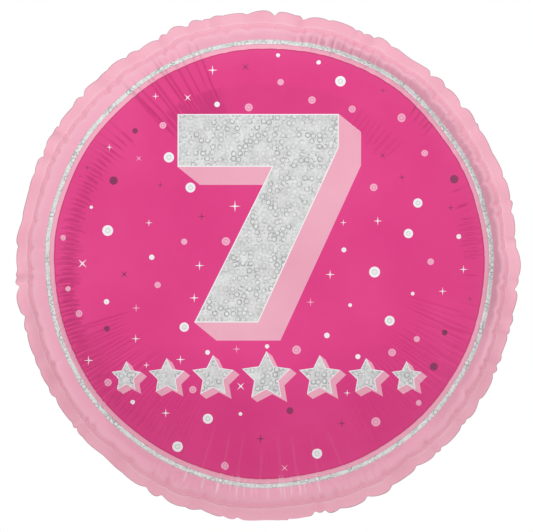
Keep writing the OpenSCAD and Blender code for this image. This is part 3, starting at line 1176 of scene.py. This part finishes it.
def prismatic_silver(name, grey):
    """Silver foil, grainy, with fine bubble outlines of two sizes and faint mint and rose tints."""
    look = Look(name)
    apart = look.node("ShaderNodeSeparateXYZ", Vector=look.coordinates)
    flat = look.node("ShaderNodeCombineXYZ", X=apart.outputs["X"], Y=apart.outputs["Z"]).outputs["Vector"]
    mottle = look.ramp(look.noise(130, 3, flat), [
        (0.3, srgb(grey - 14)),
        (0.5, srgb(grey)),
        (0.7, srgb(grey + 12)),
    ])
    grain = look.ramp(look.noise(950, 2, flat), [(0.3, srgb(228, 229, 229)), (0.7, WHITE)])
    tint = look.ramp(look.noise(60, 2, flat), [
        (0.3, srgb(243, 250, 247)),
        (0.5, srgb(252)),
        (0.7, srgb(252, 246, 249)),
    ])
    colour = look.mix(0.6, mottle, tint, "MULTIPLY")
    colour = look.mix(0.75, colour, grain, "MULTIPLY")
    for scale, size, fewest, depth in ((225.0, 0.39, 0.1, 0.85), (390.0, 0.17, 0.3, 0.8)):
        line, inside = bubbles(look, flat, scale, size, fewest)
        colour = look.mix(inside, colour, srgb(242, 243, 243))
        colour = look.mix(look.spread(line, 0, depth), colour, srgb(150, 154, 153))
    # Painted shade and painted highlights along the streaks
    look.set("Base Color", look.with_painted_shade_and_light(colour, PAINTED_SHADE_TINT))
    look.set("Metallic", 0.35)
    look.set("Roughness", look.spread(look.noise(90, 3), 0.2, 0.32))
    look.bump(look.noise(170, 4, flat), 0.00012, 0.4)
    return look.material


def plain_ink(name, dark, light):
    look = Look(name)
    look.set("Base Color", look.ramp(look.noise(40, 3), [(0.35, srgb(*dark)), (0.65, srgb(*light))]))
    look.set("Metallic", 0.1)
    look.set("Roughness", look.spread(look.noise(120, 2), 0.3, 0.42))
    look.bump(look.noise(300, 3), 0.00008, 0.4)
    return look.material


def clear_film():
    look = Look("clear_film")
    tones = [(0.3, srgb(226, 232, 234)), (0.7, srgb(242, 245, 246))]
    look.set("Base Color", look.ramp(look.noise(50, 3), tones))
    look.set("Roughness", look.spread(look.noise(80, 2), 0.1, 0.2))
    look.set("Transmission Weight", 0.7)
    look.set("IOR", 1.05)
    look.bump(look.noise(200, 3), 0.0001, 0.4)
    return look.material


def floor_paper():
    """Near-white floor that fades into the background."""
    look = Look("floor_paper")
    tones = [(0.3, srgb(240)), (0.7, srgb(243))]
    look.set("Base Color", look.ramp(look.noise(3, 2), tones))
    look.set("Roughness", 0.9)
    away = look.node("ShaderNodeVectorMath", {"operation": "LENGTH"})
    look.put(away.inputs[0], look.coordinates)
    look.set("Alpha", look.spread(away.outputs["Value"], 1.0, 0.0, *FLOOR_FADE))
    return look.material


# Stage


def make_camera():
    data = bpy.data.cameras.new("camera")
    data.sensor_width = SENSOR
    data.lens = SENSOR * CAMERA_DISTANCE / (PICTURE_W * METRES_PER_PIXEL)
    camera = linked("camera", data)
    x = (PICTURE_W / 2 - SEEN_X) * METRES_PER_PIXEL
    z = CENTRE_Z + (SEEN_Y - PICTURE_H / 2) * METRES_PER_PIXEL
    camera.location = (x, -CAMERA_DISTANCE, z)
    camera.rotation_euler = (np.pi / 2, 0, 0)
    bpy.context.scene.camera = camera


def make_world():
    world = bpy.data.worlds.new("studio")
    bpy.context.scene.world = world
    world.use_nodes = True
    tree = world.node_tree
    background = tree.nodes["Background"]
    background.inputs["Color"].default_value = WHITE
    path = tree.nodes.new("ShaderNodeLightPath")
    total = path.outputs["Is Camera Ray"]
    for name in ("Is Glossy Ray", "Is Transmission Ray"):
        either = tree.nodes.new("ShaderNodeMath")
        either.operation = "MAXIMUM"
        tree.links.new(total, either.inputs[0])
        tree.links.new(path.outputs[name], either.inputs[1])
        total = either.outputs[0]
    strength = tree.nodes.new("ShaderNodeMapRange")
    strength.inputs["To Min"].default_value = WORLD_LIGHT
    strength.inputs["To Max"].default_value = 1.0
    tree.links.new(total, strength.inputs["Value"])
    tree.links.new(strength.outputs["Result"], background.inputs["Strength"])


def make_key():
    data = bpy.data.lights.new("key", "AREA")
    data.shape = "DISK"
    data.size = KEY_SIZE
    data.energy = KEY_POWER
    key = linked("key", data)
    key.location = KEY_AT
    key.visible_glossy = False
    towards = Vector((0, 0, CENTRE_Z)) - Vector(KEY_AT)
    key.rotation_euler = towards.to_track_quat("-Z", "Y").to_euler()


def make_floor():
    flat = circle(0, 0, FLOOR_R, FLOOR_SIDES)
    points = np.column_stack([flat, np.zeros(FLOOR_SIDES)])
    floor = new_object("floor", points, [list(range(FLOOR_SIDES))])
    floor.location.z = FLOOR_Z
    floor.data.materials.append(floor_paper())


def card_points(turn, radius, distance):
    """Points that a smooth printed face shows the camera at an angle from the right and a radius."""
    radius, height, out, front = crown(radius / SEAM_R)
    ahead, back = 2 * front * out, 1 - 2 * front**2
    along = radius * ahead - height * back
    way = np.sqrt(along**2 + distance**2 - radius**2 - height**2) - along
    reach = radius + way * ahead
    return np.stack([reach * np.cos(turn), way * back - height, CENTRE_Z + reach * np.sin(turn)], axis=-1)


def card_look(name, opacity, glow):
    """Grey or glowing card that fades out towards its two ends."""
    look = Look(name)
    tones = [(0.3, srgb(112, 108, 110)), (0.7, srgb(124, 120, 122))]
    look.set("Base Color", look.ramp(look.noise(4, 2), tones))
    look.set("Roughness", 0.9)
    look.set("Emission Color", WHITE)
    look.set("Emission Strength", glow)
    strength = look.node("ShaderNodeAttribute", {"attribute_name": "strength"}).outputs["Fac"]
    look.set("Alpha", look.spread(strength, 0, opacity))
    return look.material


def make_cards():
    """Cards that the foil shows as darker or brighter zones and folds."""
    for name, (start, stop, inner, outer, opacity, slant, distance, glow) in CARDS.items():
        across = np.linspace(inner, outer, CARD_ROWS)
        part, radius = np.meshgrid(np.linspace(0, 1, CARD_COLUMNS), across, indexing="ij")
        turn = np.radians(start + part * (stop - start))
        points = card_points(turn, radius + part * slant, distance).reshape(-1, 3)
        card = new_object(name, points, grid_quads(CARD_COLUMNS, CARD_ROWS).tolist())
        strength = (smooth(part / CARD_FADE) * smooth((1 - part) / CARD_FADE)).ravel()
        card.data.attributes.new("strength", "FLOAT", "POINT").data.foreach_set("value", strength)
        card.data.materials.append(card_look(name, opacity, glow))
        card.visible_camera = False
        card.visible_diffuse = False
        card.visible_shadow = False


def fit(obj, slot, *nodes):
    """Gives a piece its body and hides the solids that it stands for. The slot is not used."""
    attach(obj, "balloon")
    if nodes:
        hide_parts(*nodes)
    return obj


def dress_films(pale):
    """The two films and the fused layer between them."""
    # The border gets the sealed foil, whose lighter colour is painted light
    films = [pale, sealed_foil_with_painted_light()]
    front = fit(front_foil(films), "pale_foil", "front_film")
    back = fit(back_foil(films), "pale_foil", "back_film")
    fit(sealed_border(), "pale_foil", "border_seal")
    return front, back


def dress_print():
    """The printed layers on the front film."""
    silver = prismatic_silver("prismatic_silver", 234)
    white = plain_ink("white_ink", (244, 240, 243), (252, 249, 251))
    pale = plain_ink("pale_ink", (244, 168, 196), (249, 182, 206))
    plum = plain_ink("plum_ink", (132, 36, 84), (148, 42, 96))
    grey = plain_ink("grey_ink", (196, 209, 203), (222, 230, 226))
    rose = plain_ink("rose_ink", (232, 118, 166), (240, 136, 180))
    side = side_ink()
    inks = {"white": white, "pale": pale, "plum": plum}
    scatter = {"ringed_dot": white, "dot_ring": grey, "pale_ring": rose}
    scatter |= {f"{tone}_{form}": inks[tone] for form in ("dot", "glint") for tone in inks}
    layers = print_layers({
        "disc_ink": {"disc": pink_foil(), "disc_edge": deep_pink_foil()},
        "numeral_ink": {"numeral": silver, "numeral_edge": white},
        "numeral_side_ink": {"numeral_side": side},
        "stars_ink": {"star": silver, "star_edge": white},
        "star_sides_ink": {"star_side": side},
        "confetti_ink": scatter,
    })
    # Painted shade and painted highlights along the streaks on the disc
    mark_painted_shade_and_light(layers["disc_ink"])
    fit(layers["disc_ink"], "hot_pink_print", "disc_print")
    fit(layers["numeral_ink"], "silver_print", "numeral_print")
    fit(layers["numeral_side_ink"], "pale_print", "numeral_side_print")
    fit(layers["stars_ink"], "silver_print")
    fit(layers["star_sides_ink"], "pale_print")
    fit(layers["confetti_ink"], "pale_print")
    fit(ring_ink(), "silver_print", "ring_print")


def dress_tail(pale):
    """The tail's films and seals, which bend across the fold."""
    fold = np.array([np.sin(FOLD_A), -np.cos(FOLD_A) - 1])
    fold = BLEND_REACH * fold / np.linalg.norm(fold)
    tail = [tail_film("tail_front_foil", -1), tail_film("tail_back_foil", 1), *tail_seals()]
    nodes = "tail_front_film", "tail_back_film", "tail_side_seals", None
    for obj, node in zip(tail, nodes):
        obj.data.materials.append(pale)
        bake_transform(obj)
        if node:
            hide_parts(node)
    return tail


def dress_valve(nodes):
    """Clear film on the solids of the valve and the inlet."""
    clear = clear_film()
    for name in ("valve_front_film", "valve_back_film", "inlet_front_film", "inlet_back_film"):
        node = nodes[name]
        node.data.materials.clear()
        node.data.materials.append(clear)


def main():
    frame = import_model()
    bpy.context.scene.view_settings.view_transform = "Standard"
    make_camera()
    make_world()
    make_key()
    make_floor()
    make_cards()

    pale = pale_foil()
    front, back = dress_films(pale)
    dress_print()
    tail = dress_tail(pale)
    dress_valve(frame["nodes"])


main()
